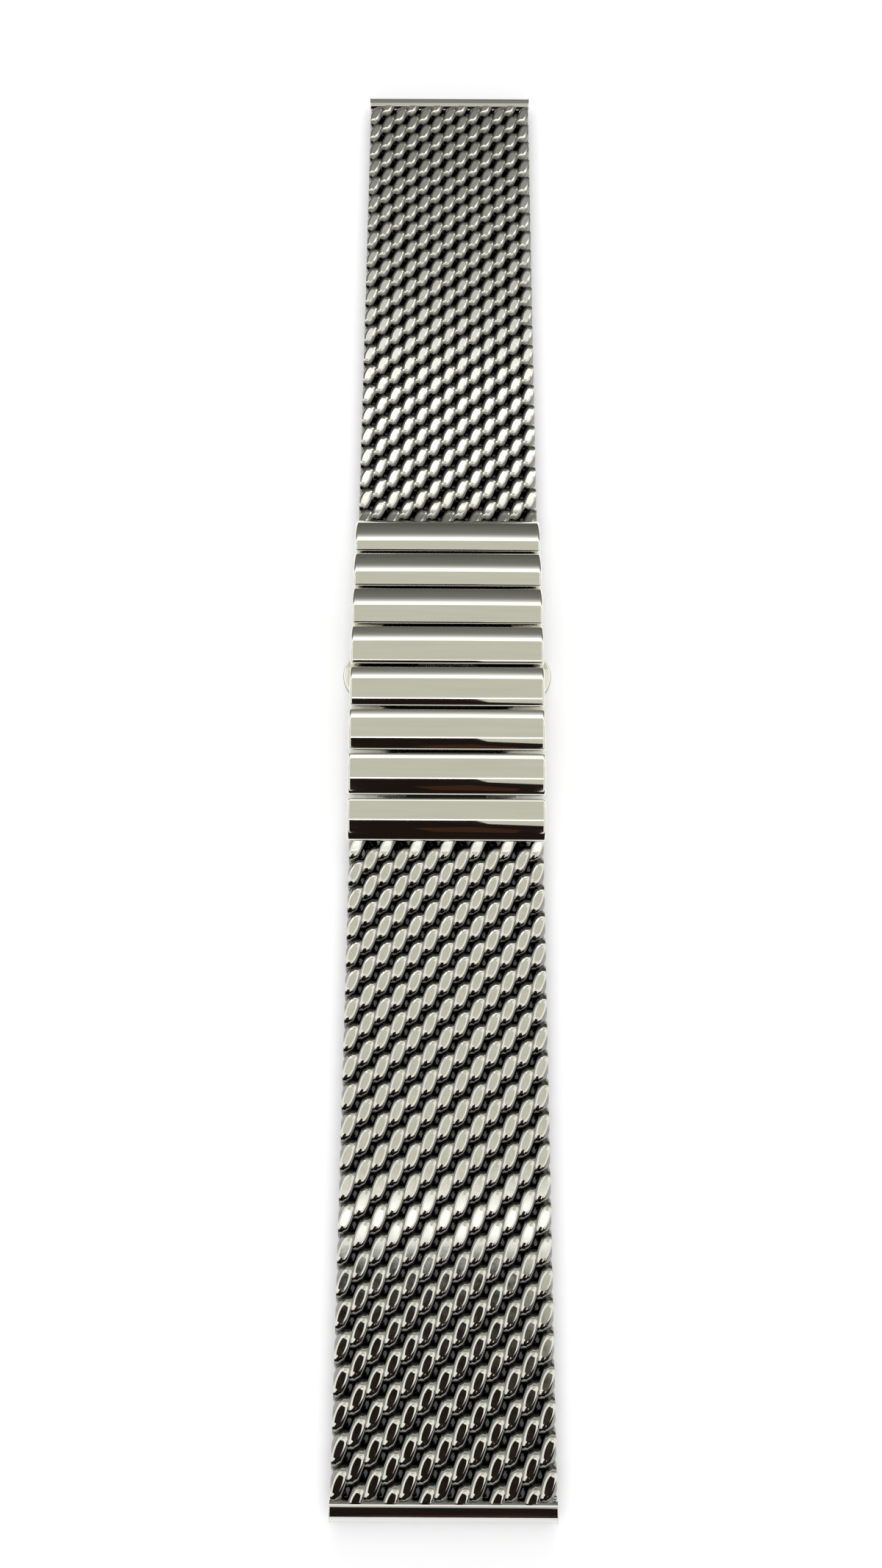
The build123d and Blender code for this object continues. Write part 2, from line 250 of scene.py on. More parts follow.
CHAIN_LENGTH = (LINK_COUNT - 0.5) * LINK_PITCH
CHAIN_DROP = LINK_MID_Z + MESH_OFFSET - HALF_MESH - MESH_FALL
SLOPE = CHAIN_DROP / (CHAIN_LENGTH / 2 + HALF_LENGTH)
LINK_ARCH_RADIUS = CHAIN_LENGTH / SLOPE
LINK_STEP = LINK_PITCH / LINK_ARCH_RADIUS
COIL_STRAIGHT = COIL_HALF_LENGTH - COIL_HALF_HEIGHT
POINTS_PER_RING = 4 + ROUND_POINTS
HALF_TURN = Matrix.Rotation(math.pi, 4, "Z")


# Places along the band

def link_place(index):
    """Where the far link number index (0 is the innermost) lies, from its own middle."""
    turn = Matrix.Rotation(-(index + 0.5) * LINK_STEP, 4, "X")
    down = Matrix.Translation((0, 0, LINK_MID_Z - LINK_ARCH_RADIUS))
    return down @ turn @ Matrix.Translation((0, 0, LINK_ARCH_RADIUS))


MESH_EDGE = link_place(LINK_COUNT - 1) @ Vector((0, HALF_LENGTH, MESH_OFFSET))
MESH_DROP = MESH_EDGE.z - HALF_MESH
BEND_RADIUS = MESH_DROP * BEND_DROP_SHARE / (1 - math.cos(SLOPE))
BEND_START = MESH_DROP * (1 - BEND_DROP_SHARE) / math.sin(SLOPE)
BEND_LENGTH = BEND_RADIUS * SLOPE
BEND_CENTRE_Y = MESH_EDGE.y + BEND_START * math.cos(SLOPE) + BEND_RADIUS * math.sin(SLOPE)
BEND_CENTRE_Z = HALF_MESH + BEND_RADIUS
SECTION_STARTS = [sum(COILS_PER_SECTION[:n]) for n in range(len(COILS_PER_SECTION) + 1)]
MESH_LENGTH = COIL_PITCH * SECTION_STARTS[-1]


def mesh_places(run, height):
    """Y and Z of points at a height above the mesh's middle, after run along it, as arrays."""
    cos, sin = math.cos(SLOPE), math.sin(SLOPE)
    down_y = MESH_EDGE.y + run * cos + height * sin
    down_z = MESH_EDGE.z - run * sin + height * cos
    along = run - BEND_START
    angle = SLOPE - along / BEND_RADIUS
    reach = BEND_RADIUS - height
    arc_y = BEND_CENTRE_Y - reach * np.sin(angle)
    arc_z = BEND_CENTRE_Z - reach * np.cos(angle)
    flat_y = BEND_CENTRE_Y + along - BEND_LENGTH
    flat_z = HALF_MESH + height
    before = run < BEND_START
    bending = along < BEND_LENGTH
    y = np.where(before, down_y, np.where(bending, arc_y, flat_y))
    z = np.where(before, down_z, np.where(bending, arc_z, flat_z))
    return y, z


MESH_END_Y = float(mesh_places(np.array(MESH_LENGTH), np.array(0.0))[0])


# Mesh helpers

def new_object(name, mesh, smooth=True):
    if smooth:
        mesh.polygons.foreach_set("use_smooth", [True] * len(mesh.polygons))
    obj = bpy.data.objects.new(name, mesh)
    bpy.context.scene.collection.objects.link(obj)
    return obj


def mesh_from(name, points, faces, smooth=True):
    mesh = bpy.data.meshes.new(name)
    mesh.from_pydata([tuple(p) for p in points], [], faces)
    mesh.validate()
    mesh.update()
    return new_object(name, mesh, smooth)


def object_from_bmesh(name, bm, smooth=True):
    mesh = bpy.data.meshes.new(name)
    bm.to_mesh(mesh)
    bm.free()
    return new_object(name, mesh, smooth)


def turn_faces_out(obj):
    bm = bmesh.new()
    bm.from_mesh(obj.data)
    bmesh.ops.recalc_face_normals(bm, faces=bm.faces[:])
    bm.to_mesh(obj.data)
    bm.free()
    return obj


def apply_modifiers(obj):
    graph = bpy.context.evaluated_depsgraph_get()
    mesh = bpy.data.meshes.new_from_object(obj.evaluated_get(graph))
    obj.modifiers.clear()
    obj.data = mesh
    return obj


def sharp_by_angle(obj, degrees):
    """Smooth shading with edges kept sharp above an angle."""
    mesh = obj.data
    mesh.polygons.foreach_set("use_smooth", [True] * len(mesh.polygons))
    bm = bmesh.new()
    bm.from_mesh(mesh)
    limit = math.radians(degrees)
    for edge in bm.edges:
        edge.smooth = len(edge.link_faces) == 2 and edge.calc_face_angle(0) < limit
    bm.to_mesh(mesh)
    bm.free()
    return obj


def turned(obj, name):
    """A copy of an object's mesh turned half a turn about Z."""
    mesh = obj.data.copy()
    mesh.transform(HALF_TURN)
    return new_object(name, mesh, smooth=False)


def write_shade_height(obj, shares):
    """Keeps at each point the share of its height that sets how much painted shade it gets."""
    polish = obj.data.attributes.new(SHADE_HEIGHT, "FLOAT", "POINT")
    polish.data.foreach_set("value", shares)


# Materials

def blank_material(name):
    material = bpy.data.materials.new(name)
    material.use_nodes = True
    tree = material.node_tree
    tree.nodes.clear()
    return material, tree, tree.nodes.new("ShaderNodeOutputMaterial")


def feed(tree, node, inputs):
    """Sets a node's inputs to constants or links them to other nodes' outputs."""
    for socket, value in inputs.items():
        if isinstance(value, bpy.types.NodeSocket):
            tree.links.new(value, node.inputs[socket])
        else:
            node.inputs[socket].default_value = value
    return node


def add_node(tree, kind, inputs=None):
    return feed(tree, tree.nodes.new(kind), inputs or {})


def mixed(tree, blend, share, first, second):
    """The colour that a mix of two colours gives."""
    mix = tree.nodes.new("ShaderNodeMix")
    mix.data_type = "RGBA"
    mix.blend_type = blend
    feed(tree, mix, dict(zip(MIX_COLOUR_INPUTS, (share, first, second))))
    return mix.outputs[MIX_COLOUR_OUTPUT]


def fill_ramp(ramp, stops):
    """Gives a colour ramp its stops, places with colours, from low to high."""
    elements = ramp.color_ramp.elements
    for place, colour in stops[1:-1]:
        elements.new(place).color = (*colour, 1.0)
    for element, (place, colour) in ((elements[0], stops[0]), (elements[-1], stops[-1])):
        element.position = place
        element.color = (*colour, 1.0)


def fine_marks(tree, stretch, scale):
    """A noise in the object's own coordinates, stretched by a factor along each axis."""
    place = add_node(tree, "ShaderNodeTexCoord")
    mapping = add_node(
        tree, "ShaderNodeMapping", {"Vector": place.outputs["Object"], "Scale": stretch}
    )
    noise = add_node(
        tree,
        "ShaderNodeTexNoise",
        {"Vector": mapping.outputs["Vector"], "Scale": scale, "Detail": MARK_DETAIL},
    )
    return noise.outputs["Fac"]


def spread(tree, marks, low, high):
    """The noise's usual range turned into low to high."""
    ranged = add_node(
        tree,
        "ShaderNodeMapRange",
        {
            "Value": marks,
            "From Min": NOISE_LOW,
            "From Max": NOISE_HIGH,
            "To Min": low,
            "To Max": high,
        },
    )
    return ranged.outputs["Result"]


def painted_shade_by_height(tree, colour, painted_shade):
    """The colour with painted shade, darkened from the heights down into the hollows."""
    height = add_node(tree, "ShaderNodeAttribute")
    height.attribute_name = SHADE_HEIGHT
    ramp = add_node(tree, "ShaderNodeValToRGB", {"Fac": height.outputs["Fac"]})
    ramp.color_ramp.interpolation = "EASE"
    fill_ramp(ramp, [(place, (shade, shade, shade * WARMTH)) for place, shade in painted_shade])
    return mixed(tree, "MULTIPLY", 1.0, ramp.outputs["Color"], colour)


def steel(name, tint, dark_tint, roughness, stretch, scale, bump, painted_shade=()):
    """Steel with fine marks: their colour, roughness and relief follow one stretched noise."""
    material, tree, output = blank_material(name)
    marks = fine_marks(tree, stretch, scale)
    share = spread(tree, marks, 0.0, 1.0)
    colour = mixed(tree, "MIX", share, (*dark_tint, 1.0), (*tint, 1.0))
    # Painted shade by height, where it is given
    if painted_shade:
        colour = painted_shade_by_height(tree, colour, painted_shade)
    relief = add_node(
        tree,
        "ShaderNodeBump",
        {"Strength": bump, "Distance": MARK_DEPTH * MM, "Height": marks},
    )
    shader = add_node(
        tree,
        "ShaderNodeBsdfPrincipled",
        {
            "Metallic": 1.0,
            "Base Color": colour,
            "Roughness": spread(tree, marks, roughness[0], roughness[1]),
            "Normal": relief.outputs["Normal"],
        },
    )
    tree.links.new(shader.outputs["BSDF"], output.inputs["Surface"])
    return material


wire_steel = steel(
    "mesh_wire_steel",
    tint=(0.84, 0.83, 0.81),
    dark_tint=(0.76, 0.75, 0.73),
    roughness=(0.07, 0.12),
    stretch=EVEN,
    scale=2.0,
    bump=0.06,
    painted_shade=WIRE_PAINTED_SHADE,
)
link_steel = steel(
    "link_steel",
    tint=(0.84, 0.83, 0.81),
    dark_tint=(0.79, 0.78, 0.76),
    roughness=(0.025, 0.06),
    stretch=ALONG_X,
    scale=2.0,
    bump=0.03,
    painted_shade=LINK_PAINTED_SHADE,
)
cap_steel = steel(
    "cap_steel",
    tint=(0.80, 0.79, 0.77),
    dark_tint=(0.74, 0.73, 0.71),
    roughness=(0.05, 0.1),
    stretch=ALONG_X,
    scale=2.0,
    bump=0.06,
)
button_steel = steel(
    "button_steel",
    tint=(0.86, 0.85, 0.80),
    dark_tint=(0.80, 0.79, 0.74),
    roughness=(0.06, 0.1),
    stretch=EVEN,
    scale=1.0,
    bump=0.05,
    painted_shade=BUTTON_PAINTED_SHADE,
)
clasp_steel = steel(
    "clasp_steel",
    tint=(0.74, 0.73, 0.71),
    dark_tint=(0.62, 0.61, 0.59),
    roughness=(0.2, 0.32),
    stretch=ALONG_Y,
    scale=2.0,
    bump=0.2,
)
pin_steel = steel(
    "pin_steel",
    tint=(0.74, 0.73, 0.71),
    dark_tint=(0.64, 0.63, 0.61),
    roughness=(0.18, 0.28),
    stretch=ALONG_X,
    scale=2.0,
    bump=0.15,
)
spring_steel = steel(
    "spring_steel",
    tint=(0.66, 0.65, 0.63),
    dark_tint=(0.50, 0.49, 0.47),
    roughness=(0.22, 0.35),
    stretch=EVEN,
    scale=2.0,
    bump=0.2,
)


def dress(piece, body, slot, material, *replaced):
    """Gives a piece its material and its body, and hides the CAD nodes that it stands for; its
    slot is not used.
    """
    piece.data.materials.clear()
    piece.data.materials.append(material)
    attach(piece, body)
    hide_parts(*replaced)
    return piece


# The woven mesh

def coil_line(turns):
    """Centreline of a coil whose half-turns pass over and under in turn, by turns as an array.

    Gives x across the band, dy along it and dz up, from the coil's own middle."""
    quarter = math.pi / 2 * COIL_HALF_HEIGHT
    length = 2 * (quarter + COIL_STRAIGHT)
    number = np.floor(turns)
    s = (turns - number) * length
    rising = s < quarter
    falling = s > quarter + 2 * COIL_STRAIGHT
    angle = np.where(rising, s, s - quarter - 2 * COIL_STRAIGHT) / COIL_HALF_HEIGHT
    level_y = s - quarter - COIL_STRAIGHT
    crown = COIL_CROWN * (1 - (level_y / COIL_STRAIGHT) ** 2)
    dy = np.where(
        rising,
        -COIL_STRAIGHT - COIL_HALF_HEIGHT * np.cos(angle),
        np.where(falling, COIL_STRAIGHT + COIL_HALF_HEIGHT * np.sin(angle), level_y),
    )
    dz = np.where(
        rising,
        COIL_HALF_HEIGHT * np.sin(angle),
        np.where(falling, COIL_HALF_HEIGHT * np.cos(angle), COIL_HALF_HEIGHT + crown),
    )
    side = np.where(number % 2 == 0, 1.0, -1.0)
    eased = turns + SLANT_EASE * np.sin(2 * math.pi * turns) / (2 * math.pi)
    x = (eased - COLUMN_COUNT / 2) * COLUMN_PITCH
    return x, dy * side, dz * side


def ring_angles(flat):
    """The angles of a ring's points round the outward direction; the first four span the flat."""
    start = flat + RIM_ANGLE
    step = (2 * math.pi - 2 * start) / (ROUND_POINTS - 1)
    around = [start + step * n for n in range(ROUND_POINTS)]
    core = flat * FLAT_CORE_SHARE
    return np.array([-flat, -core, core, flat] + around)


def flat_angle(lift, room):
    """Half the angle of a ring that grinding makes flat, where the wire lifts past its room."""
    if room < lift:
        return max(FLAT_LEAST_ANGLE, math.acos(room / lift))
    return FLAT_LEAST_ANGLE


def coil_frames(turns):
    """The coil's line with the directions outward from its middle and across both."""
    line = np.stack(coil_line(turns), axis=1)
    ahead = np.stack(coil_line(turns + TANGENT_STEP), axis=1)
    behind = np.stack(coil_line(turns - TANGENT_STEP), axis=1)
    tangent = ahead - behind
    tangent /= np.linalg.norm(tangent, axis=1)[:, None]
    outward = line * (0, 1, 1)
    outward[:, 1] = np.sign(line[:, 1]) * np.maximum(np.abs(line[:, 1]) - COIL_STRAIGHT, 0)
    outward -= tangent * np.sum(outward * tangent, axis=1)[:, None]
    outward /= np.linalg.norm(outward, axis=1)[:, None]
    return line, outward, np.cross(tangent, outward)


def coil(parity):
    """Points (x, dy, dz) and ring faces of one coil, ground flat above and below."""
    turns = COLUMN_COUNT + 2 * END_TURNS
    count = int(turns * RINGS_PER_TURN) + 1
    line, outward, across = coil_frames(np.linspace(-END_TURNS, turns - END_TURNS, count) + parity)
    line[:, 0] -= parity * COLUMN_PITCH
    points = []
    for place, out, aside in zip(line, outward, across):
        flat = flat_angle(abs(out[2]) * WIRE_HALF_HEIGHT, HALF_MESH - abs(place[2]))
        angles = ring_angles(flat)[:, None]
        ring = place + WIRE_HALF_HEIGHT * np.cos(angles) * out
        ring = ring + WIRE_HALF_WIDTH * np.sin(angles) * aside
        top = np.full(POINTS_PER_RING, HALF_MESH)
        top[[0, 3]] -= RIM_DROP
        ring[:, 2] = np.clip(ring[:, 2], -top, top)
        points.append(ring)
    faces = []
    for n in range(count - 1):
        for m in range(POINTS_PER_RING):
            here = n * POINTS_PER_RING + m
            beside = n * POINTS_PER_RING + (m + 1) % POINTS_PER_RING
            faces.append((here, beside, beside + POINTS_PER_RING, here + POINTS_PER_RING))
    last = (count - 1) * POINTS_PER_RING
    faces.append(tuple(range(POINTS_PER_RING))[::-1])
    faces.append(tuple(last + m for m in range(POINTS_PER_RING)))
    return np.concatenate(points), faces


def cut_flat(bm, point, normal):
    """Cuts away what lies on the normal's side of a plane and closes the cuts."""
    found = bmesh.ops.bisect_plane(
        bm,
        geom=bm.verts[:] + bm.edges[:] + bm.faces[:],
        dist=CUT_DISTANCE,
        plane_co=Vector(point) * MM,
        plane_no=normal,
        clear_outer=True,
    )
    edges = [e for e in found["geom_cut"] if isinstance(e, bmesh.types.BMEdge)]
    bmesh.ops.holes_fill(bm, edges=edges)


def cut_section(obj, index):
    """Trims a stretch at the band's edges, in the last link's seat and in the end cap."""
    bm = bmesh.new()
    bm.from_mesh(obj.data)
    for side in (1, -1):
        cut_flat(bm, (side * MESH_WIDTH / 2, 0, 0), (side, 0, 0))
    if index == 0:
        back = Vector((0, -math.cos(SLOPE), math.sin(SLOPE)))
        cut_flat(bm, MESH_EDGE + back * (LIP_LENGTH - SEAT_PLAY), back)
    if index == len(COILS_PER_SECTION) - 1:
        cut_flat(bm, (0, MESH_END_Y - CAP_RADIUS * CAP_COVER_SHARE, 0), (0, 1, 0))
    bm.to_mesh(obj.data)
    bm.free()


def mesh_section(index, coils):
    """The coils of one stiff stretch of the far mesh, with the ground faces flat-shaded."""
    points = []
    heights = []
    faces = []
    offset = 0
    for number in range(SECTION_STARTS[index], SECTION_STARTS[index + 1]):
        coil_points, coil_faces = coils[number % 2]
        across, along, height = coil_points.T
        y, z = mesh_places(along + (number + 0.5) * COIL_PITCH, height)
        points.append(np.stack([across, y, z], axis=1) * MM)
        # Painted shade by height: darker down into the weave's hollows, kept lighter at the band's
        # open side edges
        at_edge = np.abs(across) > MESH_WIDTH / 2 - OPEN_EDGE_WIDTH
        share = np.abs(height) / HALF_MESH
        heights.append(np.where(at_edge, np.maximum(share, OPEN_EDGE_SHARE), share))
        faces.extend(tuple(v + offset for v in face) for face in coil_faces)
        offset += len(coil_points)
    obj = mesh_from(f"woven_far_{index + 1}", np.concatenate(points), faces)
    heights = np.concatenate(heights).astype(np.float32)
    write_shade_height(obj, heights)
    rounded = [not all(heights[v] > GROUND_SHARE for v in face) for face in faces]
    obj.data.polygons.foreach_set("use_smooth", rounded)
    cut_section(obj, index)
    return obj


def woven_mesh():
    coils = [coil(parity) for parity in (0, 1)]
    for index in range(len(COILS_PER_SECTION)):
        far = mesh_section(index, coils)
        near = turned(far, f"woven_near_{index + 1}")
        for side, piece in (("far", far), ("near", near)):
            body = f"mesh_{side}_{index + 1}" if index else f"link_{side}_{LINK_COUNT}"
            dress(piece, body, "mesh_wire", wire_steel, f"mesh_{side}_{index + 1}")


# Polished links

def link_profile():
    """The link's outline in its own YZ plane, from the outer flank over the top and back below."""
    reach = LINK_CROWN_RADIUS - LINK_EDGE
    edge_y = HALF_LENGTH - LINK_EDGE
    crown_z = HALF_HEIGHT - LINK_CROWN_RADIUS
    tilt = math.asin(edge_y / reach)
    edge_z = crown_z + reach * math.cos(tilt)
    points = []
    for n in range(EDGE_STEPS + 1):
        angle = math.pi / 2 + (tilt - math.pi / 2) * n / EDGE_STEPS
        points.append((edge_y + LINK_EDGE * math.sin(angle), edge_z + LINK_EDGE * math.cos(angle)))
    for n in range(1, CROWN_STEPS):
        angle = tilt - 2 * tilt * n / CROWN_STEPS
        y = LINK_CROWN_RADIUS * math.sin(angle)
        points.append((y, crown_z + LINK_CROWN_RADIUS * math.cos(angle)))
    points.extend([(-y, z) for y, z in reversed(points[:EDGE_STEPS + 1])])
    flank = HALF_HEIGHT - LINK_CHAMFER
    points.append((-HALF_LENGTH, -flank))
    points.append((LINK_CHAMFER - HALF_LENGTH, -HALF_HEIGHT))
    points.append((HALF_LENGTH - LINK_CHAMFER, -HALF_HEIGHT))
    points.append((HALF_LENGTH, -flank))
    return points


def inset_profile(points, amount):
    """The closed outline moved inward by an amount, by its corners' own directions."""
    moved = []
    count = len(points)
    for n in range(count):
        before = Vector(points[n - 1])
        here = Vector(points[n])
        after = Vector(points[(n + 1) % count])
        one = (here - before).normalized()
        two = (after - here).normalized()
        normal = Vector((-one.y - two.y, one.x + two.x)).normalized()
        cosine = max(normal.dot(Vector((-one.y, one.x))), LEAST_COSINE)
        moved.append(here + normal * (amount / cosine))
    return moved


def link_bar():
    """The closed bar with its crowned top and small rounds at both ends."""
    profile = link_profile()
    stations = []
    for n in range(END_STEPS + 1):
        angle = math.pi / 2 * n / END_STEPS
        inset = LINK_CORNER * (1 - math.sin(angle))
        out = LINK_CORNER * (1 - math.cos(angle))
        stations.append((out - LINK_WIDTH / 2, inset))
    stations.extend([(-x, inset) for x, inset in reversed(stations)])
    points = []
    for x, inset in stations:
        points += [Vector((x, p[0], p[1])) * MM for p in inset_profile(profile, inset)]
    count = len(profile)
    faces = []
    for n in range(len(stations) - 1):
        for m in range(count):
            beside = (m + 1) % count
            here = n * count
            ahead = here + count
            faces.append((here + m, ahead + m, ahead + beside, here + beside))
    last = (len(stations) - 1) * count
    faces.append(tuple(range(count)))
    faces.append(tuple(last + m for m in range(count))[::-1])
    return turn_faces_out(mesh_from("bar", points, faces))


def block(x0, x1, y0, y1, z0, z1):
    bm = bmesh.new()
    bmesh.ops.create_cube(bm, size=1.0)
    scale = Matrix.Diagonal((abs(x1 - x0) * MM, abs(y1 - y0) * MM, abs(z1 - z0) * MM, 1))
    centre = Matrix.Translation(Vector(((x0 + x1) / 2, (y0 + y1) / 2, (z0 + z1) / 2)) * MM)
    bmesh.ops.transform(bm, matrix=centre @ scale, verts=bm.verts[:])
    return object_from_bmesh("block", bm, smooth=False)


def rod(radius, width, y, z):
    """A round rod along X."""
    bm = bmesh.new()
    bmesh.ops.create_cone(
        bm,
        cap_ends=True,
        segments=ROD_SEGMENTS,
        radius1=radius * MM,
        radius2=radius * MM,
        depth=width * MM,
    )
    place = Matrix.Translation(Vector((0, y, z)) * MM) @ Matrix.Rotation(math.pi / 2, 4, "Y")
    bmesh.ops.transform(bm, matrix=place, verts=bm.verts[:])
    return object_from_bmesh("rod", bm)


def combine(obj, other, operation):
    """Joins or cuts an object with another, which is used up."""
    modifier = obj.modifiers.new("combine", "BOOLEAN")
    modifier.operation = operation
    modifier.solver = "EXACT"
    modifier.object = other
    apply_modifiers(obj)
    bpy.data.objects.remove(other)
    return obj


def cut_slot(bar, width, start, end, pin_y):
    """Cuts the slot for a neighbour's knuckle, and the hole for its pin right through the bar."""
    depth = HALF_HEIGHT + OVERRUN
    roof = KNUCKLE_RADIUS + KNUCKLE_PLAY - PIN_DROP
    half_slot = width / 2 + SIDE_PLAY
    combine(bar, block(-half_slot, half_slot, start, end, -depth, roof), "DIFFERENCE")
    combine(bar, rod(PIN_RADIUS, LINK_WIDTH + OVERRUN, pin_y, -PIN_DROP), "DIFFERENCE")


def cut_lip(bar):
    """Cuts away what the mesh fills below the outermost link's lip."""
    start = HALF_LENGTH - LIP_LENGTH
    depth = HALF_HEIGHT + OVERRUN
    roof = HALF_HEIGHT - LIP_THICKNESS
    notch = block(-LINK_WIDTH, LINK_WIDTH, start, HALF_LENGTH + OVERRUN, -depth, roof)
    combine(bar, notch, "DIFFERENCE")


def add_tongue(bar, index):
    """Adds the knuckle that turns on the pin of the link before."""
    before = link_place(index).inverted() @ link_place(index - 1)
    pin = before @ Vector((0, PIN_Y, -PIN_DROP))
    half_tongue = TONGUE_WIDTH / 2
    low = pin.z - KNUCKLE_RADIUS
    high = pin.z + TONGUE_SHOULDER
    neck = block(-half_tongue, half_tongue, pin.y, PIN_INSET - HALF_LENGTH, low, high)
    tongue = combine(rod(KNUCKLE_RADIUS, TONGUE_WIDTH, pin.y, pin.z), neck, "UNION")
    bore = rod(PIN_RADIUS + PIN_PLAY, TONGUE_WIDTH + OVERRUN, pin.y, pin.z)
    combine(tongue, bore, "DIFFERENCE")
    combine(bar, tongue, "UNION")


def link_shape(index):
    """The far link number index, cut and tongued for its neighbours, in its own place."""
    bar = link_bar()
    knuckle = KNUCKLE_RADIUS + KNUCKLE_PLAY
    if index < LINK_COUNT - 1:
        cut_slot(bar, TONGUE_WIDTH, PIN_Y - knuckle, HALF_LENGTH + OVERRUN, PIN_Y)
    else:
        cut_lip(bar)
    if index == 0:
        cut_slot(bar, EAR_WIDTH, -HALF_LENGTH - OVERRUN, EAR_Y + knuckle, EAR_Y)
    else:
        add_tongue(bar, index)
    # Painted shade: within the tongue's width the bar darkens towards its middle height, where the
    # knuckles sit in their slots
    tongue_edge = TONGUE_WIDTH * MM / 2 + SIDE_PLAY * MM
    shares = []
    for vertex in bar.data.vertices:
        beside = abs(vertex.co.x) > tongue_edge
        shares.append(1.0 if beside else abs(vertex.co.z) / (HALF_HEIGHT * MM))
    write_shade_height(bar, shares)
    place = link_place(index)
    place.translation *= MM
    bar.data.transform(place)
    return sharp_by_angle(bar, BAR_SHARP_ANGLE)


def polished_links():
    for index in range(LINK_COUNT):
        far = link_shape(index)
        far.name = f"bar_far_{index + 1}"
        near = turned(far, f"bar_near_{index + 1}")
        for side, piece in (("far", far), ("near", near)):
            name = f"link_{side}_{index + 1}"
            dress(piece, name, "polished_link", link_steel, name)


# End caps

def cap_ring(x, shrink, bore):
    """One ring of the cap's outside, or of its bore, at a place across the band."""
    points = []
    for step in range(CAP_STEPS):
        angle = 2 * math.pi * step / CAP_STEPS
        radius = CAP_BORE_RADIUS + shrink if bore else CAP_RADIUS - shrink
        height = radius * math.cos(angle)
        if not bore:
            height = min(height, CAP_RADIUS - CAP_FLAT - shrink)
        place = Vector((x, MESH_END_Y + radius * math.sin(angle), CAP_RADIUS + height))
        points.append(place * MM)
    return points


def end_cap():
    """The tube for the spring bar: rounded ends, a narrow flat on top, the bore through it."""
    half = CAP_WIDTH / 2
    angles = [math.pi / 2 * step / CAP_EDGE_STEPS for step in range(CAP_EDGE_STEPS + 1)]
    ends = [(half - CAP_EDGE * (1 - math.cos(a)), CAP_EDGE * (1 - math.sin(a))) for a in angles]
    places = [(x, shrink, False) for x, shrink in reversed(ends)]
    places += [(-x, shrink, False) for x, shrink in ends]
    places += [(-half, 0.0, True), (half, 0.0, True)]
    points = []
    for x, shrink, bore in places:
        points += cap_ring(x, shrink, bore)
    faces = []
    for ring in range(len(places)):
        here = ring * CAP_STEPS
        after = (ring + 1) % len(places) * CAP_STEPS
        for step in range(CAP_STEPS):
            beside = (step + 1) % CAP_STEPS
            faces.append((here + step, here + beside, after + beside, after + step))
    cap = turn_faces_out(mesh_from("tube_far", points, faces))
    return sharp_by_angle(cap, CAP_SHARP_ANGLE)


def end_caps():
    far = end_cap()
    near = turned(far, "tube_near")
    for side, piece in (("far", far), ("near", near)):
        body = f"mesh_{side}_{len(COILS_PER_SECTION)}"
        dress(piece, body, "end_cap", cap_steel, f"end_cap_{side}")


# Pieces that keep the CAD model's own shape, with softened edges

def softened(node, body, slot, material, bevel=SMALL_ROUND):
    """A copy of a CAD node with its flat faces joined and its edges rounded a little."""
    mesh = nodes[node].data.copy()
    bm = bmesh.new()
    bm.from_mesh(mesh)
    bmesh.ops.remove_doubles(bm, verts=bm.verts[:], dist=JOIN_DISTANCE)
    flat = math.radians(FLAT_ANGLE)
    bmesh.ops.dissolve_limit(bm, angle_limit=flat, verts=bm.verts[:], edges=bm.edges[:])
    bm.to_mesh(mesh)
    bm.free()
    piece = new_object(f"{node}_shape", mesh)
    rounding = piece.modifiers.new("rounding", "BEVEL")
    rounding.width = bevel * MM
    rounding.segments = ROUND_SEGMENTS
    rounding.limit_method = "ANGLE"
    rounding.angle_limit = math.radians(ROUND_ANGLE)
    apply_modifiers(piece)
    sharp_by_angle(piece, CLASP_SHARP_ANGLE)
    return dress(piece, body, slot, material, node)


def push_button(node):
    """A button with a painted dark reflection at its rim's outer edge, which fades to nothing at
    the face.
    """
    button = softened(node, node, "button", button_steel)
    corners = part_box(node)
    top = max(corner[2] for corner in corners) / MM
    reach = max(abs(corner[0]) for corner in corners) / MM
    radius = ((BUTTON_CHORD / 2) ** 2 + BUTTON_STAND**2) / (2 * BUTTON_STAND)
    shares = []
    for vertex in button.data.vertices:
        place = vertex.co / MM
        inset = radius - math.hypot(abs(place.x) - reach + radius, place.y)
        share = min(max(inset / BUTTON_RIM, 0.0), 1.0)
        shares.append(share if place.z > top - BUTTON_SHADE_DEPTH else 1.0)
    write_shade_height(button, shares)


def latch_spring(side):
    """The folded strip behind a button, on a mesh of its own; the real strip shortens towards the
    web as the button goes in.
    """
    node = f"latch_spring_{side}"
    spring = softened(node, "clasp_body", "spring", spring_steel, SPRING_ROUND)
    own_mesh(spring)


def small_pieces():
    for side in ("far", "near"):
        softened(f"wing_{side}", f"wing_{side}", "clasp", clasp_steel, CLASP_ROUND)
        softened(f"hinge_pin_{side}", "clasp_body", "pin", pin_steel)
        softened(f"wing_pin_{side}", f"link_{side}_1", "pin", pin_steel)
        for number in range(1, LINK_COUNT):
            softened(f"link_pin_{side}_{number}", f"link_{side}_{number}", "pin", pin_steel)
    softened("clasp_body", "clasp_body", "clasp", clasp_steel, CLASP_ROUND)
    softened("latch_cover", "clasp_body", "clasp", clasp_steel)
    for side in ("right", "left"):
        push_button(f"push_button_{side}")
        body = f"push_button_{side}"
        softened(f"latch_hook_{side}", body, "clasp", clasp_steel, HOOK_ROUND)
        latch_spring(side)


# Studio

def glow(name, colour):
    """A material that gives off light, with a strength above 1 where its colour is brighter."""
    material, tree, output = blank_material(name)
    light = add_node(
        tree,
        "ShaderNodeEmission",
        {"Color": (*[min(c, 1.0) for c in colour], 1.0), "Strength": max(max(colour), 1.0)},
    )
    tree.links.new(light.outputs["Emission"], output.inputs["Surface"])
    return material


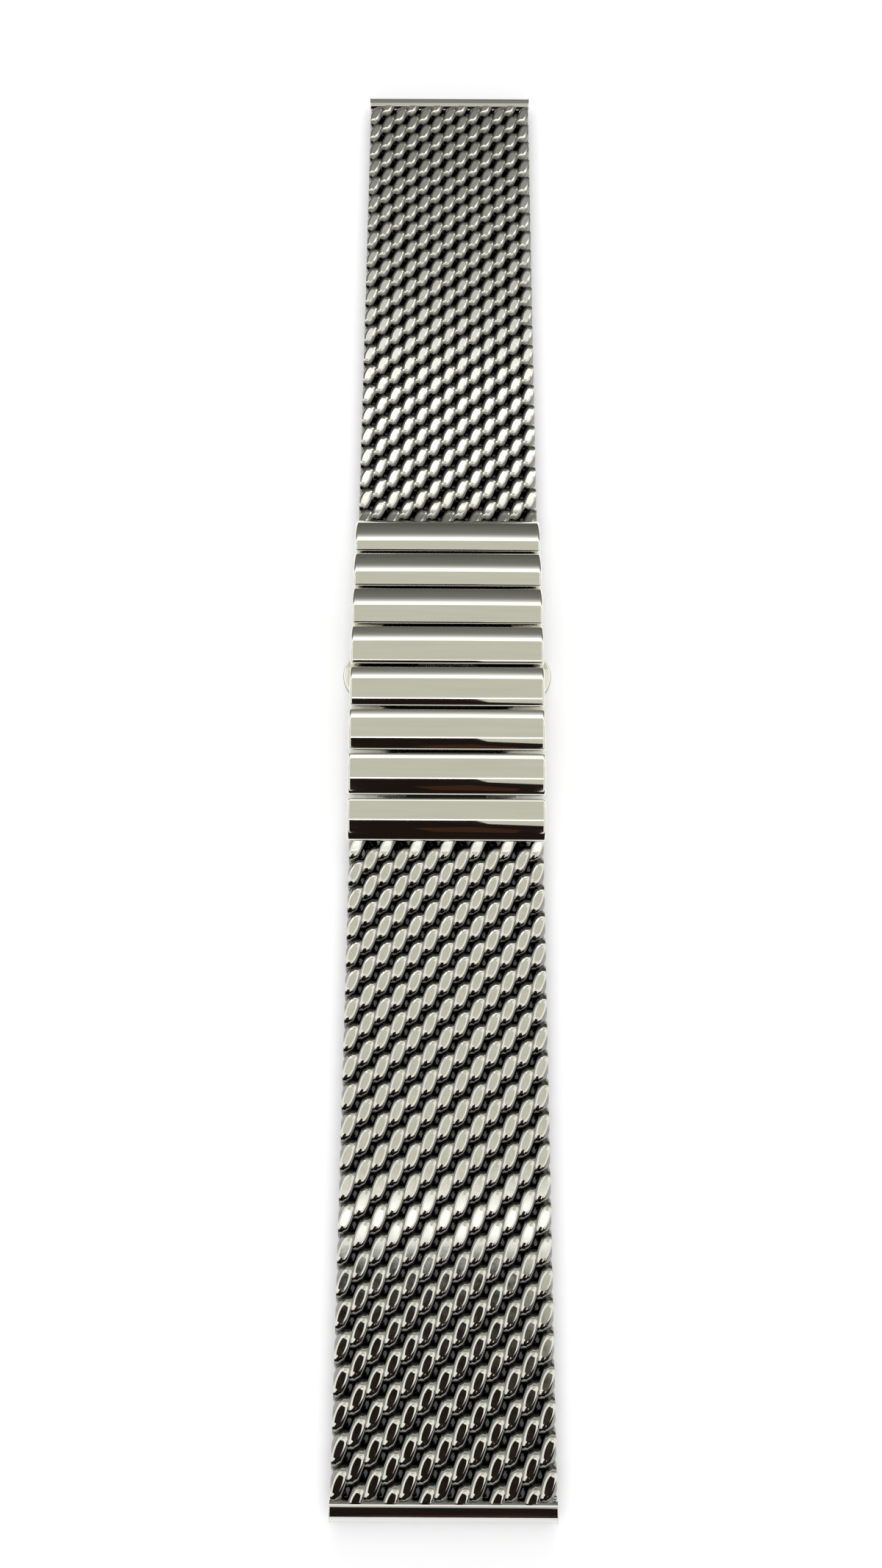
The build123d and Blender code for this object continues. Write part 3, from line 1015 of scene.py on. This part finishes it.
def graded_glow(name, shades, axis):
    """A glow whose shade changes along one axis of the card, by places from its lower end."""
    material = glow(name, (FAR_GLOW, FAR_GLOW, FAR_GLOW))
    tree = material.node_tree
    place = add_node(tree, "ShaderNodeTexCoord")
    split = add_node(tree, "ShaderNodeSeparateXYZ", {"Vector": place.outputs["Generated"]})
    ramp = add_node(tree, "ShaderNodeValToRGB", {"Fac": split.outputs[axis]})
    low, high = shades[0][0], shades[-1][0]
    fill_ramp(ramp, [((at - low) / (high - low), shade) for at, shade in shades])
    tree.links.new(ramp.outputs["Color"], tree.nodes["Emission"].inputs["Color"])
    return material


def card(name, corners, material):
    """A flat card of the studio that lights the object but isn't seen by the camera itself."""
    face = tuple(range(len(corners)))
    obj = mesh_from(name, [Vector(c) * MM for c in corners], [face], smooth=False)
    obj.data.materials.append(material)
    obj.visible_camera = False
    obj.visible_diffuse = False
    obj.visible_shadow = False


def level_card(name, outline, colour, z=PANEL_Z):
    card(name, [(x, y, z) for x, y in outline], glow(f"{name}_glow", colour))


def rectangle(x0, x1, y0, y1):
    return [(x0, y0), (x1, y0), (x1, y1), (x0, y1)]


def studio():
    left, right = -STRIPE_HALF_WIDTH, STRIPE_HALF_WIDTH
    low, high = -PANEL_HALF_WIDTH, PANEL_HALF_WIDTH
    for number, (start, end, colour) in enumerate(PANEL_STRIPES, 1):
        level_card(f"panel_{number}", rectangle(left, right, start, end), colour)
    for number, (inner, outer, colour) in enumerate(SIDE_STRIPES, 1):
        on_right = rectangle(inner, outer, SIDE_START, SIDE_END)
        on_left = rectangle(-outer, -inner, SIDE_START, SIDE_END)
        level_card(f"panel_right_{number}", on_right, colour)
        level_card(f"panel_left_{number}", on_left, colour)
    level_card("panel_near", rectangle(low, high, low, SIDE_START), BLACK)
    near_edge = [(left, SIDE_START), (right, SIDE_START)]
    level_card("panel_black", [*near_edge, *reversed(BLACK_CORNER), (left, BLACK_END)], BLACK)
    level_card("panel_corner", [*BLACK_CORNER, (right, BLACK_END)], CREAM)
    level_card("panel_streak", STREAK, BROWN, PANEL_Z - STREAK_DROP)
    above = [(x, y, PANEL_Z) for x, y in rectangle(low, high, SIDE_END, FAR_END)]
    card("panel_far", above, graded_glow("panel_far_shades", FAR_SHADES, "Y"))
    behind = [(x, FAR_END, z) for x, z in rectangle(low, high, 0, PANEL_Z)]
    card("wall_far", behind, graded_glow("wall_far_shades", WALL_SHADES, "Z"))


def table_glow(tree):
    """The table's own light, faint under the band and stronger beside it."""
    place = add_node(tree, "ShaderNodeTexCoord")
    split = add_node(tree, "ShaderNodeSeparateXYZ", {"Vector": place.outputs["Object"]})
    aside = add_node(tree, "ShaderNodeMath", {0: split.outputs["X"]})
    aside.operation = "ABSOLUTE"
    spill = add_node(
        tree,
        "ShaderNodeMapRange",
        {
            "Value": aside.outputs["Value"],
            "From Min": (LINK_WIDTH / 2 + GLOW_START) * MM,
            "From Max": (LINK_WIDTH / 2 + GLOW_END) * MM,
            "To Min": GLOW_UNDER,
            "To Max": GLOW_BESIDE,
        },
    )
    spill.interpolation_type = "SMOOTHSTEP"
    return add_node(tree, "ShaderNodeEmission", {"Strength": spill.outputs["Result"]})


def larger(tree, first, second):
    both = add_node(tree, "ShaderNodeMath", {0: first, 1: second})
    both.operation = "MAXIMUM"
    return both.outputs["Value"]


def table_white():
    """White that takes shadows, glows only for what sees it and is clear from below."""
    material, tree, output = blank_material("table_white")
    white = (TABLE_WHITE, TABLE_WHITE, TABLE_WHITE, 1.0)
    diffuse = add_node(tree, "ShaderNodeBsdfDiffuse", {"Color": white})
    light = table_glow(tree)
    both = add_node(
        tree, "ShaderNodeAddShader", {0: diffuse.outputs["BSDF"], 1: light.outputs["Emission"]}
    )
    path = add_node(tree, "ShaderNodeLightPath")
    seen = larger(tree, path.outputs["Is Camera Ray"], path.outputs["Is Glossy Ray"])
    seen = larger(tree, seen, path.outputs["Is Transmission Ray"])
    above = add_node(
        tree,
        "ShaderNodeMixShader",
        {0: seen, 1: diffuse.outputs["BSDF"], 2: both.outputs["Shader"]},
    )
    side = add_node(tree, "ShaderNodeNewGeometry")
    clear = add_node(tree, "ShaderNodeBsdfTransparent")
    whole = add_node(
        tree,
        "ShaderNodeMixShader",
        {0: side.outputs["Backfacing"], 1: above.outputs["Shader"], 2: clear.outputs["BSDF"]},
    )
    tree.links.new(whole.outputs["Shader"], output.inputs["Surface"])
    return material


def table():
    """A wide table, a hair under the band so that the two never share a plane."""
    size = TABLE_HALF_WIDTH
    points = [Vector((x, y, -TABLE_GAP)) * MM for x, y in rectangle(-size, size, -size, size)]
    obj = mesh_from("table", points, [(0, 1, 2, 3)], smooth=False)
    obj.data.materials.append(table_white())


def world():
    scene = bpy.context.scene
    scene.world = bpy.data.worlds.new("studio_world")
    scene.world.use_nodes = True
    background = scene.world.node_tree.nodes["Background"]
    background.inputs["Color"].default_value = (1.0, 1.0, 1.0, 1.0)
    background.inputs["Strength"].default_value = 1.0
    scene.view_settings.view_transform = "Standard"


def camera():
    data = bpy.data.cameras.new("photo_camera")
    data.sensor_fit = "VERTICAL"
    data.sensor_height = SENSOR_HEIGHT
    data.lens = SENSOR_HEIGHT * FOCAL_PIXELS / PHOTO_HEIGHT
    data.clip_start = CLIP_START * MM
    obj = bpy.data.objects.new("photo_camera", data)
    bpy.context.scene.collection.objects.link(obj)
    obj.location = Vector((CAMERA_X, CAMERA_Y, CAMERA_Z)) * MM
    obj.rotation_euler = (math.radians(90 - CAMERA_PITCH), 0, math.radians(CAMERA_YAW))
    bpy.context.scene.camera = obj


camera()
world()
table()
studio()
woven_mesh()
polished_links()
end_caps()
small_pieces()
